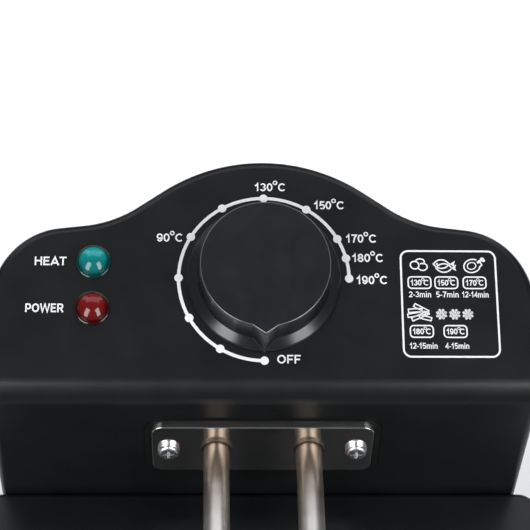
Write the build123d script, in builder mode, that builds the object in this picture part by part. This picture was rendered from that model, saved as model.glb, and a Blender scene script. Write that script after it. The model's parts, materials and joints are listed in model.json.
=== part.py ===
"""Lift-off control head of a counter-top deep fryer, with its immersion heater.

The head is a folded steel case with a sloping, hill-topped control panel. A shelf on its front wall
hangs over the tank's rear rim, and the heater's two legs leave the wall above that shelf, drop into
the tank and lie in it as a flat four-pass loop. Off the tank it stands on its feet and on the loop.

Axes: X to the right as the user sees it, Y to the rear, Z up. Origin: on the bench, under the
middle of the footprint. Lengths are in millimetres.
"""

import os
from math import asin, cos, degrees, pi, radians, sin, tan

from build123d import *

# ---------------------------------------------------------------- driving dimensions
sheet = 1.2  # case steel
head_half_width = 99.0
panel_tilt = radians(22.4)  # panel above level
shelf_top = 150.0
wall_height = 62.5  # shelf to the fold line
fold_radius = 9.0
rim_radius = 3.0  # rounding where the panel and front wall meet the sides
case_bottom = 6.0

dial_up = 43.5  # dial centre above the fold line, along the panel
crest_depth = 84.3  # front wall to the top of the hill, in plan
crest_radius = 69.0
flank_angle = radians(32.4)
hollow_radius = 45.0
shoulder_meet = (55.2, 62.0)  # where flank and shoulder lines cross: half width, depth
shoulder_end = 57.3  # depth of the shoulder line at the side wall
shoulder_radius = 27.0

return_depth = 18.0  # front shell's side returns
skirt_depth = 12.0  # front shell's rim below the panel
seam = 0.4

shelf_depth = 60.0
shelf_half_width = 106.5
shelf_sheet = 1.5
shelf_lip = 13.0
shelf_corner = 7.0

tube_radius = 4.75
leg_spread = 16.9  # half distance between the heater legs at the wall
leg_height = 182.9
drop_ahead = 76.0  # the legs' vertical run, ahead of the wall
loop_height = 14.0
inner_pass = 18.0
outer_pass = 55.0
loop_reach = 262.0  # front of the loop, ahead of the wall
loop_bend = 16.0

flange_half_width = 40.6
flange_half_height = 13.6
flange_thickness = 1.3
gasket_border = 2.4
gasket_thickness = 0.8
flange_height = 181.6
flange_screw_spread = 34.5

knob_radius = 27.8
knob_grip_radius = 24.3
knob_height = 17.0
knob_gap = 0.6
pointer_tip = 28.4
shaft_radius = 3.0
running_gap = 0.05

lamp_across = -61.9
lamp_ups = {"heat": 5.9, "power": -11.7}
lamp_flange_radius = 6.35

screw_radius = 2.0
screw_hole = 2.1
nut_bore = screw_radius + 0.02
gland_height = 40.0
stud_height = 76.0
reset_height = 112.0
boss_rise = 1.2
gland_reach = 23.0
rear_reach = crest_depth + boss_rise + gland_reach
plunger_spot = (60.0, 118.0)
plunger_travel = 4.0
reset_travel = 1.5
bulb_offset = 6.5
bulb_radius = 3.0
capillary_radius = 1.0
capillary_drop = 7.4  # capillary below its heater leg

# ---------------------------------------------------------------- derived places
wall_y = (loop_reach - rear_reach) / 2
fold_z = shelf_top + wall_height
crest_y = wall_y + crest_depth
base_top = case_bottom + sheet
inside_wall = wall_y + sheet

panel = Plane(
    origin=(0, wall_y + dial_up * cos(panel_tilt), fold_z + dial_up * sin(panel_tilt)),
    x_dir=(1, 0, 0),
    z_dir=(0, -sin(panel_tilt), cos(panel_tilt)),
)
wall = Plane(origin=(0, wall_y, 0), x_dir=(1, 0, 0), z_dir=(0, -1, 0))
rear = Plane(origin=(0, crest_y, 0), x_dir=(-1, 0, 0), z_dir=(0, 1, 0))

os.makedirs("parts", exist_ok=True)


def finish(name, builder):
    """Labels a finished piece and writes it."""
    builder.part.label = name
    export_step(builder.part, f"parts/{name}.step")


def ahead(distance):
    """Y of a point that far ahead of the front wall."""
    return wall_y - distance


def panel_z(y):
    """Height of the panel's plane at y."""
    return fold_z + (y - wall_y) * tan(panel_tilt)


# ---------------------------------------------------------------- form of the case
def plan_outline(inset):
    """Sketch of the case seen from above: straight front and sides, hill-shaped rear."""
    apex = crest_depth - crest_radius + crest_radius / cos(flank_angle)
    half = head_half_width
    meet_x, meet_y = shoulder_meet
    with BuildSketch(mode=Mode.PRIVATE) as plan:
        with BuildLine():
            hill = FilletPolyline(
                (half, wall_y),
                (half, wall_y + shoulder_end),
                (meet_x, wall_y + meet_y),
                (0, wall_y + apex),
                (-meet_x, wall_y + meet_y),
                (-half, wall_y + shoulder_end),
                (-half, wall_y),
                radius=[shoulder_radius, hollow_radius, crest_radius, hollow_radius, shoulder_radius],
            )
            Line(hill @ 1, hill @ 0)
        make_face()
        if inset:
            offset(amount=-inset)
    return plan.sketch


def envelope(inset, foot):
    """The case as a block standing on height foot, drawn in by inset on every other face."""
    corner_z = fold_z - inset / cos(panel_tilt) + inset * tan(panel_tilt)
    far_y = wall_y + 2 * crest_depth
    far_z = corner_z + (far_y - wall_y - inset) * tan(panel_tilt)
    with BuildPart(mode=Mode.PRIVATE) as block:
        with BuildSketch(Plane.YZ.offset(-head_half_width - 1)) as side:
            with BuildLine():
                Polyline(
                    (wall_y + inset, foot),
                    (wall_y + inset, corner_z),
                    (far_y, far_z),
                    (far_y, foot),
                    close=True,
                )
            make_face()
            fold = side.vertices().sort_by_distance((wall_y, fold_z))[0]
            fillet(fold, fold_radius - inset)
        extrude(amount=2 * head_half_width + 2)
        with BuildSketch(Plane.XY.offset(foot)):
            add(plan_outline(inset))
        extrude(amount=2 * fold_z, mode=Mode.INTERSECT)
        fillet(rim_edges(block, inset), rim_radius - inset)
    return block.part


def rim_edges(block, inset):
    """Edges that run up the front wall's sides, over the fold and round the panel."""
    side_x = head_half_width - inset
    chosen = []
    for edge in block.edges():
        middle = edge @ 0.5
        on_side = abs(abs(middle.X) - side_x) < 0.01
        on_panel = abs(panel.to_local_coords(middle).Z + inset) < 0.01
        on_wall = abs(middle.Y - wall_y - inset) < 0.01
        level = abs((edge @ 0).Y - (edge @ 1).Y) < 0.01 and abs((edge @ 0).Z - (edge @ 1).Z) < 0.01
        on_fold = on_side and edge.geom_type == GeomType.CIRCLE and not on_panel
        crosses = level and abs(middle.X) < 0.01 and abs((edge @ 0).X) > side_x - 1
        if crosses:
            continue
        if on_panel or on_fold or (on_wall and on_side):
            chosen.append(edge)
    return chosen


def rear_region(gap):
    """Block behind the side returns and below the panel's skirt, moved back by gap."""
    start_y = wall_y + return_depth + gap
    far_y = wall_y + 2 * crest_depth
    drop = (skirt_depth + gap) / cos(panel_tilt)
    half = head_half_width + 2
    with BuildPart(mode=Mode.PRIVATE) as region:
        with BuildSketch(Plane.YZ.offset(-half)):
            with BuildLine():
                Polyline(
                    (start_y, case_bottom - 2),
                    (start_y, panel_z(start_y) - drop),
                    (far_y, panel_z(far_y) - drop),
                    (far_y, case_bottom - 2),
                    close=True,
                )
            make_face()
        extrude(amount=2 * half)
    return region.part


outer_form = envelope(0, case_bottom)
inner_form = envelope(sheet, case_bottom - 1)

# ---------------------------------------------------------------- fasteners
cover_screw_y = wall_y + return_depth + 8
cover_screw_heights = (30.0, 90.0, 150.0)


def screw_row(plane, spots, length, head_radius, head_height):
    """One plane's screws: heads standing on the plane, shanks behind it."""
    slot_length = head_radius * 1.1
    slot_width = head_radius * 0.26
    recess = head_height * 0.6
    with BuildPart() as screws:
        with BuildSketch(plane):
            with Locations(*spots):
                Circle(head_radius)
        extrude(amount=head_height)
        outward = Axis(plane.origin, plane.z_dir)
        fillet(screws.edges().group_by(outward)[-1], head_height * 0.55)
        with BuildSketch(plane):
            with Locations(*spots):
                Circle(screw_radius)
        extrude(amount=-length)
        with BuildSketch(plane.offset(head_height - recess)):
            with Locations(*spots):
                Rectangle(slot_length, slot_width)
                Rectangle(slot_width, slot_length)
        extrude(amount=recess + 1, mode=Mode.SUBTRACT)
    return screws.part


def pan_screws(name, sets, length, head_radius=4.0, head_height=2.2):
    """Cross-recessed pan-head screws on each (plane, spots), as one node."""
    rows = [screw_row(plane, spots, length, head_radius, head_height) for plane, spots in sets]
    with BuildPart() as group:
        add(rows)
    finish(name, group)


def hex_nuts(name, sets, across_flats, thickness, hole):
    """Hexagon nuts standing on each (plane, spots)."""
    with BuildPart() as group:
        for plane, spots in sets:
            with BuildSketch(plane):
                with Locations(*spots):
                    RegularPolygon(across_flats / 2, 6, major_radius=False)
                    Circle(hole, mode=Mode.SUBTRACT)
            extrude(amount=thickness)
    finish(name, group)


# ---------------------------------------------------------------- case
flange_spots = [(-flange_screw_spread, flange_height), (flange_screw_spread, flange_height)]
window_half_width = 28.0
window_half_height = 9.6
thermostat_screw_spots = [(-14.0, 0.0), (14.0, 0.0)]
rivet_height = shelf_top - 8.0
rivet_spots = [(-70.0, rivet_height), (0.0, rivet_height), (70.0, rivet_height)]
guide_radius = 4.9
bush_radius = 5.0
lamp_body_radius = 4.7
window_height = 180.4

with BuildPart() as front_shell:
    add(outer_form)
    add(inner_form, mode=Mode.SUBTRACT)
    add(rear_region(0), mode=Mode.SUBTRACT)
    with BuildSketch(wall.offset(1)):
        with Locations((0, window_height)):
            RectangleRounded(2 * window_half_width, 2 * window_half_height, 3)
        with Locations(*flange_spots, *rivet_spots):
            Circle(screw_hole)
        with Locations(plunger_spot):
            Circle(guide_radius)
    extrude(amount=-sheet - 2, mode=Mode.SUBTRACT)
    with BuildSketch(panel.offset(1)):
        Circle(bush_radius + 0.2)
        with Locations(*thermostat_screw_spots):
            Circle(screw_hole)
        with Locations(*[(lamp_across, up) for up in lamp_ups.values()]):
            Circle(lamp_body_radius + 0.1)
    extrude(amount=-sheet - 2, mode=Mode.SUBTRACT)
finish("front_shell", front_shell)

gland_hole = 8.1
stud_radius = 2.5
stud_root = 2.9  # shoulder inside the nuts
reset_neck_radius = 5.9
boss_radii = {gland_height: 15.0, stud_height: 9.0, reset_height: 13.0}
boss_holes = {
    gland_height: gland_hole,
    stud_height: stud_root + 0.1,
    reset_height: reset_neck_radius + 0.1,
}
vent_heights = [150.0, 158.0, 166.0, 174.0, 182.0]
vent_length = 44.0
vent_width = 3.2

with BuildPart() as rear_cover:
    add(outer_form)
    add(inner_form, mode=Mode.SUBTRACT)
    add(rear_region(seam), mode=Mode.INTERSECT)
    for height, radius in boss_radii.items():
        with BuildSketch(rear.offset(boss_rise)):
            with Locations((0, height)):
                Circle(radius)
        extrude(amount=-boss_rise - 2.2)
        with BuildSketch(rear.offset(boss_rise - sheet)):
            with Locations((0, height)):
                Circle(radius - sheet)
        extrude(amount=-6, mode=Mode.SUBTRACT)
        with BuildSketch(rear.offset(boss_rise + 1)):
            with Locations((0, height)):
                Circle(boss_holes[height])
        extrude(amount=-6, mode=Mode.SUBTRACT)
    with BuildSketch(rear.offset(1)):
        with Locations(*[(0, height) for height in vent_heights]):
            SlotOverall(vent_length, vent_width)
    extrude(amount=-12, mode=Mode.SUBTRACT)
    with BuildSketch(Plane.YZ.offset(-head_half_width - 1)):
        with Locations(*[(cover_screw_y, height) for height in cover_screw_heights]):
            Circle(screw_hole)
    extrude(amount=2 * head_half_width + 2, mode=Mode.SUBTRACT)
finish("rear_cover", rear_cover)

strip_sheet = 1.5
strip_x = head_half_width - sheet - strip_sheet
with BuildPart() as seam_strips:
    for side in (-1, 1):
        with BuildSketch(Plane.YZ.offset(side * strip_x)):
            with Locations((wall_y + return_depth, 90)):
                RectangleRounded(24, 150, 2)
            with Locations(*[(cover_screw_y, height) for height in cover_screw_heights]):
                Circle(screw_radius + 0.02, mode=Mode.SUBTRACT)
        extrude(amount=side * strip_sheet)
finish("seam_strips", seam_strips)

cover_screw_sets = []
for side in (-1, 1):
    side_plane = Plane(origin=(side * head_half_width, 0, 0), x_dir=(0, side, 0), z_dir=(side, 0, 0))
    spots = [(side * cover_screw_y, height) for height in cover_screw_heights]
    cover_screw_sets.append((side_plane, spots))
pan_screws("cover_screws", cover_screw_sets, 7.0)

foot_spots = [(-78.0, 14.0), (78.0, 14.0), (-60.0, 44.0), (60.0, 44.0)]
lug_spots = [(-50.0, 7.0), (50.0, 7.0)]
lug_width = 12.0
lug_height = 9.0
stem_radius = 2.5

with BuildPart() as base_plate:
    with BuildSketch(Plane.XY.offset(case_bottom)):
        add(plan_outline(sheet + 0.3))
        with Locations(*[(x, wall_y + y) for x, y in foot_spots]):
            Circle(stem_radius + 0.05, mode=Mode.SUBTRACT)
        with Locations(*[(x, wall_y + y) for x, y in lug_spots]):
            Circle(screw_hole, mode=Mode.SUBTRACT)
        with Locations((0, wall_y + 62)):
            Circle(screw_hole, mode=Mode.SUBTRACT)
        with GridLocations(9, 0.1, 9, 1):
            with Locations((0, wall_y + 30)):
                SlotOverall(20, 3.2, rotation=90, mode=Mode.SUBTRACT)
    extrude(amount=sheet)
    front_corners = base_plate.edges().filter_by(Axis.Z).group_by(Axis.Y)[0]
    fillet(front_corners, rim_radius - sheet)
finish("base_plate", base_plate)

base_lug_places = [(x, wall_y + sheet, 11.6) for x, y in lug_spots]
with BuildPart() as base_lugs:
    for x, y, depth in base_lug_places:
        with BuildSketch(Plane.XY.offset(base_top)):
            with Locations((x, y)):
                Rectangle(lug_width, depth, align=(Align.CENTER, Align.MIN))
            with Locations((x, wall_y + 7.0)):
                Circle(screw_radius + 0.02, mode=Mode.SUBTRACT)
        extrude(amount=lug_height)
    with BuildSketch(Plane.XY.offset(base_top)):
        with Locations((0, wall_y + 62)):
            Rectangle(lug_width, 14)
            Circle(screw_radius + 0.02, mode=Mode.SUBTRACT)
    extrude(amount=lug_height)
finish("base_lugs", base_lugs)

underside = Plane(origin=(0, 0, case_bottom), x_dir=(1, 0, 0), z_dir=(0, 0, -1))
base_screw_spots = [(x, -wall_y - y) for x, y in lug_spots] + [(0, -wall_y - 62)]
pan_screws("base_screws", [(underside, base_screw_spots)], 9.0)

with BuildPart() as foot:
    with BuildSketch(Plane.XZ):
        with BuildLine():
            Polyline(
                (0, 0),
                (7.0, 0),
                (8.0, case_bottom),
                (stem_radius, case_bottom),
                (stem_radius, base_top),
                (stem_radius + 1.0, base_top + 0.6),
                (stem_radius - 0.6, base_top + 3.4),
                (0, base_top + 3.4),
                close=True,
            )
        make_face()
    revolve(axis=Axis.Z)

with BuildPart() as rubber_feet:
    with Locations(*[(x, wall_y + y) for x, y in foot_spots]):
        add(foot.part)
finish("rubber_feet", rubber_feet)

# ---------------------------------------------------------------- hanging shelf
with BuildPart() as hanging_shelf:
    with BuildSketch(Plane.XY.offset(shelf_top - shelf_lip)):
        with Locations((0, ahead(shelf_depth))):
            Rectangle(2 * shelf_half_width, shelf_depth, align=(Align.CENTER, Align.MIN))
    extrude(amount=shelf_lip)
    fillet(hanging_shelf.edges().filter_by(Axis.Z), shelf_corner)
    top_rim = hanging_shelf.edges().group_by(Axis.Z)[-1]
    fillet(top_rim.filter_by(lambda edge: (edge @ 0.5).Y < wall_y - 0.01), 2.5)
    with BuildSketch(Plane.XY.offset(shelf_top - shelf_lip)):
        with Locations((0, ahead(shelf_depth - shelf_sheet))):
            RectangleRounded(
                2 * (shelf_half_width - shelf_sheet),
                shelf_depth - 2 * shelf_sheet,
                shelf_corner - shelf_sheet,
                align=(Align.CENTER, Align.MIN),
            )
    extrude(amount=shelf_lip - shelf_sheet, mode=Mode.SUBTRACT)
    with BuildSketch(wall.offset(shelf_sheet + 1)):
        with Locations(*rivet_spots):
            Circle(screw_hole)
    extrude(amount=-shelf_sheet - 2, mode=Mode.SUBTRACT)
finish("hanging_shelf", hanging_shelf)

with BuildPart() as shelf_rivets:
    with BuildSketch(wall.offset(shelf_sheet)):
        with Locations(*rivet_spots):
            Circle(3.4)
    extrude(amount=1.3)
    fillet(shelf_rivets.edges().group_by(Axis.Y)[0], 1.0)
    with BuildSketch(wall.offset(shelf_sheet)):
        with Locations(*rivet_spots):
            Circle(screw_radius)
    extrude(amount=-shelf_sheet - sheet)
    with BuildSketch(wall.offset(-sheet)):
        with Locations(*rivet_spots):
            Circle(3.0)
    extrude(amount=-1.2)
finish("shelf_rivets", shelf_rivets)

# ---------------------------------------------------------------- heater flange
tube_spots = [(-leg_spread, leg_height), (leg_spread, leg_height)]
capillary_height = leg_height - capillary_drop
capillary_spots = [(-leg_spread, capillary_height), (leg_spread, capillary_height)]
flange_face = gasket_thickness + flange_thickness

with BuildPart() as heater_gasket:
    with BuildSketch(wall):
        with Locations((0, flange_height)):
            RectangleRounded(
                2 * (flange_half_width + gasket_border),
                2 * (flange_half_height + gasket_border),
                6.4,
            )
        with Locations((0, window_height)):
            RectangleRounded(2 * window_half_width, 2 * window_half_height, 3, mode=Mode.SUBTRACT)
        with Locations(*flange_spots):
            Circle(screw_hole, mode=Mode.SUBTRACT)
    extrude(amount=gasket_thickness)
finish("heater_gasket", heater_gasket)

with BuildPart() as heater_flange:
    with BuildSketch(wall.offset(gasket_thickness)):
        with Locations((0, flange_height)):
            RectangleRounded(2 * flange_half_width, 2 * flange_half_height, 4.0)
        with Locations(*flange_spots):
            Circle(screw_hole, mode=Mode.SUBTRACT)
        with Locations(*tube_spots):
            Circle(tube_radius, mode=Mode.SUBTRACT)
        with Locations(*capillary_spots):
            Circle(capillary_radius + 0.1, mode=Mode.SUBTRACT)
    extrude(amount=flange_thickness)
    fillet(heater_flange.edges().group_by(Axis.Y)[0].filter_by(lambda edge: edge.length > 30), 0.35)
finish("heater_flange", heater_flange)

pan_screws("flange_screws", [(wall.offset(flange_face), flange_spots)], 9.0, head_height=2.4)
hex_nuts("flange_nuts", [(wall.offset(-sheet - 3.2), flange_spots)], 7.0, 3.2, nut_bore)

with BuildPart() as tube_collars:
    with BuildSketch(wall.offset(flange_face)):
        with Locations(*tube_spots):
            Circle(5.8)
            Circle(tube_radius, mode=Mode.SUBTRACT)
    extrude(amount=1.0)
    front_rims = tube_collars.edges().group_by(Axis.Y)[0]
    fillet(front_rims.group_by(SortBy.RADIUS)[-1], 0.5)
finish("tube_collars", tube_collars)

# ---------------------------------------------------------------- heater
cold_end = 26.0
pass_front = ahead(loop_reach - tube_radius)
pass_back = ahead(drop_ahead + 40)
left_leg = [
    (-leg_spread, inside_wall + cold_end, leg_height),
    (-leg_spread, ahead(drop_ahead), leg_height),
    (-leg_spread, ahead(drop_ahead), leg_height - 52),
    (-outer_pass, ahead(drop_ahead), 82),
    (-outer_pass, ahead(drop_ahead), loop_height),
    (-outer_pass, pass_front, loop_height),
    (-inner_pass, pass_front, loop_height),
    (-inner_pass, pass_back, loop_height),
]
right_leg = [(-x, y, z) for x, y, z in reversed(left_leg)]
heater_path = left_leg + right_leg
heater_radii = [loop_bend] * (len(heater_path) - 2)


def tube_along(points, radii, section_radius):
    """Round bar or tube swept along straight runs joined by tangent arcs."""
    with BuildPart() as swept:
        with BuildLine() as path:
            FilletPolyline(*points, radius=radii)
        run = path.wires()[0]
        with BuildSketch(Plane(origin=run @ 0, z_dir=run % 0)):
            Circle(section_radius)
        sweep(path=run)
    expected = pi * section_radius**2 * run.length
    print("run", round(run.length), "mm, volume over section times length", swept.part.volume / expected)
    return swept.part


heater_bar = tube_along(heater_path, heater_radii, tube_radius)
with BuildPart() as heater_tube:
    add(heater_bar)
finish("heater_tube", heater_tube)

cold_end_plane = wall.offset(-sheet - cold_end)
pin_radius = 1.6
pin_length = 9.0
with BuildPart() as end_seals:
    with BuildSketch(cold_end_plane):
        with Locations(*tube_spots):
            Circle(3.9)
            Circle(pin_radius, mode=Mode.SUBTRACT)
    extrude(amount=-5)
finish("end_seals", end_seals)

with BuildPart() as terminal_pins:
    with BuildSketch(cold_end_plane):
        with Locations(*tube_spots):
            Circle(pin_radius)
    extrude(amount=-pin_length)
    with BuildSketch(cold_end_plane.offset(-pin_length)):
        with Locations(*tube_spots):
            Rectangle(0.8, 6.3)
    extrude(amount=-pin_length)
finish("terminal_pins", terminal_pins)

stay_half_width = outer_pass + 8
stay_width = 12.0
stay_sheet = 1.5
stay_screw_spots = [-(inner_pass + outer_pass) / 2, 0.0, (inner_pass + outer_pass) / 2]
tube_low = loop_height - tube_radius
tube_high = loop_height + tube_radius
stay_places = {"front": ahead(loop_reach - 34), "rear": ahead(drop_ahead + 52)}

for place, stay_y in stay_places.items():
    with BuildPart() as lower_stay:
        with Locations((0, stay_y, tube_low)):
            Box(
                2 * stay_half_width,
                stay_width,
                stay_sheet,
                align=(Align.CENTER, Align.CENTER, Align.MAX),
            )
        for side in (-1, 1):
            with Locations((side * stay_half_width, stay_y, 0)):
                Box(
                    stay_sheet,
                    stay_width,
                    tube_low,
                    align=(Align.CENTER, Align.CENTER, Align.MIN),
                )
                Box(9, stay_width, stay_sheet, align=(Align.CENTER, Align.CENTER, Align.MIN))
        with Locations(*[(x, stay_y, tube_low) for x in stay_screw_spots]):
            Hole(screw_hole)
    finish(f"{place}_stay_lower", lower_stay)

    with BuildPart() as upper_stay:
        with Locations((0, stay_y, tube_high)):
            Box(
                2 * stay_half_width - 4,
                stay_width,
                stay_sheet,
                align=(Align.CENTER, Align.CENTER, Align.MIN),
            )
        fillet(upper_stay.edges().filter_by(Axis.Z), 3)
        with Locations(*[(x, stay_y, tube_high) for x in stay_screw_spots]):
            Hole(screw_hole)
    finish(f"{place}_stay_upper", upper_stay)

stay_spots = [(x, stay_y) for stay_y in stay_places.values() for x in stay_screw_spots]
stay_screw_plane = Plane.XY.offset(tube_high + stay_sheet)
pan_screws("stay_screws", [(stay_screw_plane, stay_spots)], 16.2, head_radius=3.5, head_height=1.6)
hex_nuts("stay_nuts", [(Plane.XY.offset(tube_low - stay_sheet - 3.0), stay_spots)], 7.0, 3.0, nut_bore)

# ---------------------------------------------------------------- sensing bulbs and capillaries
bulb_height = tube_high + stay_sheet + 1.6 + bulb_radius + 0.1
bulb_front = ahead(loop_reach - 50)
bulb_back = stay_places["rear"] + 4
bulb_length = bulb_back - bulb_front

bulb_sides = {"sensor": -1, "cutout": 1}
for name, side in bulb_sides.items():
    with BuildPart() as bulb:
        with BuildSketch(Plane.XZ.offset(-bulb_front)):
            with Locations((side * bulb_offset, bulb_height)):
                Circle(bulb_radius)
        extrude(amount=-bulb_length)
        fillet(bulb.edges().filter_by(GeomType.CIRCLE), 1.2)
    finish(f"{name}_bulb", bulb)

clip_sheet = 0.8
clip_y = (bulb_front + bulb_back) / 2
clip_half_width = inner_pass + tube_radius
with BuildPart() as bulb_clip:
    with BuildSketch(Plane.XZ.offset(-clip_y - 6)) as clip_profile:
        for side in (-1, 1):
            with Locations((side * bulb_offset, bulb_height)):
                Circle(bulb_radius + clip_sheet)
        with Locations((0, tube_high)):
            Rectangle(2 * clip_half_width, clip_sheet, align=(Align.CENTER, Align.MIN))
            Rectangle(
                2 * bulb_offset,
                bulb_height - tube_high,
                align=(Align.CENTER, Align.MIN),
            )
        for side in (-1, 1):
            with Locations((side * bulb_offset, bulb_height)):
                Circle(bulb_radius, mode=Mode.SUBTRACT)
        with Locations((0, tube_high)):
            Rectangle(3 * clip_half_width, 12, align=(Align.CENTER, Align.MAX), mode=Mode.SUBTRACT)
    extrude(amount=12)
finish("bulb_clip", bulb_clip)

thermostat_floor = -29.0
capillary_end = panel.from_local_coords((-12, 6, thermostat_floor))
capillary_turn = panel.from_local_coords((-12, 6, thermostat_floor - 10))
left_capillary = [
    (-bulb_offset, bulb_back, bulb_height),
    (-bulb_offset, bulb_back + 14, bulb_height),
    (-bulb_offset, ahead(drop_ahead + 12), 62),
    (-bulb_offset, ahead(drop_ahead + 2), 128),
    (-bulb_offset, ahead(drop_ahead - 4), capillary_height),
    (-leg_spread, ahead(48), capillary_height),
    (-leg_spread, inside_wall + 14, capillary_height),
    (-leg_spread + 8, inside_wall + 40, capillary_height - 2),
    (capillary_turn.X, capillary_turn.Y, capillary_turn.Z),
    (capillary_end.X, capillary_end.Y, capillary_end.Z),
]
capillary_bends = [5.0, 10.0, 14.0, 7.0, 7.0, 5.0, 6.0, 4.0]
left_line = tube_along(left_capillary, capillary_bends, capillary_radius)
with BuildPart() as sensor_capillary:
    add(left_line)
finish("sensor_capillary", sensor_capillary)

cutout_depth = 24.0
cutout_face = boss_rise - sheet
cutout_front = crest_y + cutout_face - cutout_depth
right_capillary = [(-x, y, z) for x, y, z in left_capillary[:7]] + [
    (leg_spread + 4, inside_wall + 28, capillary_height - 10),
    (6.0, inside_wall + 36, reset_height + 4),
    (6.0, cutout_front, reset_height + 4),
]
right_line = tube_along(right_capillary, capillary_bends, capillary_radius)
with BuildPart() as cutout_capillary:
    add(right_line)
finish("cutout_capillary", cutout_capillary)

# ---------------------------------------------------------------- thermostat
bracket_sheet = 1.2
with BuildPart() as thermostat_bracket:
    with BuildSketch(panel.offset(-sheet)):
        RectangleRounded(46, 30, 3)
        Circle(bush_radius, mode=Mode.SUBTRACT)
        with Locations(*thermostat_screw_spots):
            Circle(screw_radius + 0.02, mode=Mode.SUBTRACT)
    extrude(amount=-bracket_sheet)
finish("thermostat_bracket", thermostat_bracket)

body_top = -sheet - bracket_sheet
with BuildPart() as thermostat_body:
    with BuildSketch(panel.offset(body_top)):
        RectangleRounded(44, 36, 4)
    extrude(amount=thermostat_floor - body_top)
    with BuildSketch(panel.offset(body_top)):
        Circle(shaft_radius + running_gap)
    extrude(amount=-18, mode=Mode.SUBTRACT)
    with BuildSketch(panel.offset(body_top)):
        with Locations(*thermostat_screw_spots):
            Circle(screw_hole)
    extrude(amount=-6, mode=Mode.SUBTRACT)
finish("thermostat_body", thermostat_body)

bush_top = 2.4
with BuildPart() as thermostat_bush:
    with BuildSketch(panel.offset(body_top)):
        Circle(bush_radius)
        Circle(shaft_radius + running_gap, mode=Mode.SUBTRACT)
    extrude(amount=bush_top - body_top)
finish("thermostat_bush", thermostat_bush)

pan_screws("thermostat_screws", [(panel, thermostat_screw_spots)], 7.4, 3.6, 1.8)

shaft_bottom = body_top - 17.0
shaft_top = 14.0
flat_start = 4.0
flat_height = 2.0  # flat above the shaft's axis, on the side opposite the pointer
with BuildPart() as thermostat_shaft:
    with BuildSketch(panel.offset(shaft_bottom)):
        Circle(shaft_radius)
    extrude(amount=shaft_top - shaft_bottom)
    with BuildSketch(panel.offset(flat_start)):
        with Locations((0, flat_height)):
            Rectangle(8, 4, align=(Align.CENTER, Align.MIN))
    extrude(amount=20, mode=Mode.SUBTRACT)
finish("thermostat_shaft", thermostat_shaft)

# ---------------------------------------------------------------- knob
skirt_edge = 1.8  # height of the skirt's straight edge
skirt_top = 4.9
knob_wall = 2.2


def pointer_outline(radius, tip):
    """Round grip with flanks running from it to a pointed tip, on the side towards the user."""
    half = 4.8
    with BuildSketch(mode=Mode.PRIVATE) as outline:
        Circle(radius)
        with BuildLine():
            Polyline((-half, -radius * 0.97), (0, -tip), (half, -radius * 0.97), (0, 0), close=True)
        make_face()
    return outline.sketch


with BuildPart() as control_knob:
    with BuildSketch(panel.offset(knob_gap)):
        Circle(knob_radius)
    extrude(amount=skirt_edge - knob_gap)
    with BuildSketch(panel.offset(skirt_edge)):
        Circle(knob_radius)
    with BuildSketch(panel.offset(skirt_top)):
        Circle(knob_grip_radius)
    loft()
    with BuildSketch(panel.offset(knob_gap)):
        add(pointer_outline(knob_grip_radius, pointer_tip))
    extrude(amount=knob_height - knob_gap, taper=3.6)
    with BuildSketch(panel.offset(knob_gap)):
        Circle(knob_grip_radius - knob_wall)
    extrude(amount=knob_height - knob_gap - knob_wall, mode=Mode.SUBTRACT)
    with BuildSketch(panel.offset(3.4)):
        Circle(6.5)
        Rectangle(2 * knob_grip_radius - 3, 1.6)
        Rectangle(1.6, 2 * knob_grip_radius - 3)
        Circle(shaft_radius + 0.03, mode=Mode.SUBTRACT)
    extrude(amount=knob_height - 3.4 - 1.2)
finish("control_knob", control_knob)

with BuildPart() as knob_clip:
    with BuildSketch(panel.offset(flat_start + 1)):
        with Locations((0, flat_height + 0.1)):
            Rectangle(2.6, 0.6, align=(Align.CENTER, Align.MIN))
    extrude(amount=8)
finish("knob_clip", knob_clip)

# ---------------------------------------------------------------- indicator lamps
lens_edge = 1.0
lens_rise = 4.6
lens_dome_radius = 5.5
dome_height = lens_rise - lens_edge
dome_radius = (lens_dome_radius**2 + dome_height**2) / (2 * dome_height)
dome_start = degrees(asin((lens_edge - lens_rise + dome_radius) / dome_radius))
lamp_depth = 17.0
for lamp, up in lamp_ups.items():
    lamp_axis = Plane(
        origin=panel.from_local_coords((lamp_across, up, 0)),
        x_dir=(1, 0, 0),
        z_dir=panel.z_dir,
    )
    lens_section = Plane(origin=lamp_axis.origin, x_dir=(1, 0, 0), z_dir=-panel.y_dir)
    with BuildPart() as lens:
        with BuildSketch(lens_section):
            with BuildLine():
                Polyline(
                    (0, lens_rise),
                    (0, 0),
                    (lamp_flange_radius, 0),
                    (lamp_flange_radius, lens_edge - 0.4),
                    (lamp_flange_radius - 0.4, lens_edge),
                    (lens_dome_radius, lens_edge),
                )
                CenterArc((0, lens_rise - dome_radius), dome_radius, dome_start, 90 - dome_start)
            make_face()
        revolve(axis=Axis(lamp_axis.origin, lamp_axis.z_dir))
    finish(f"{lamp}_lamp_lens", lens)
    with BuildPart() as lamp_body:
        with BuildSketch(lamp_axis):
            Circle(lamp_body_radius)
        extrude(amount=-lamp_depth)
        with BuildSketch(lamp_axis.offset(-lamp_depth)):
            with GridLocations(5, 1, 2, 1):
                Rectangle(0.8, 2.8)
        extrude(amount=-6)
    finish(f"{lamp}_lamp_body", lamp_body)
    with BuildPart() as lamp_clip:
        with BuildSketch(lamp_axis.offset(-sheet)):
            Circle(7.5)
            Circle(lamp_body_radius, mode=Mode.SUBTRACT)
        extrude(amount=-0.8)
    finish(f"{lamp}_lamp_clip", lamp_clip)

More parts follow.
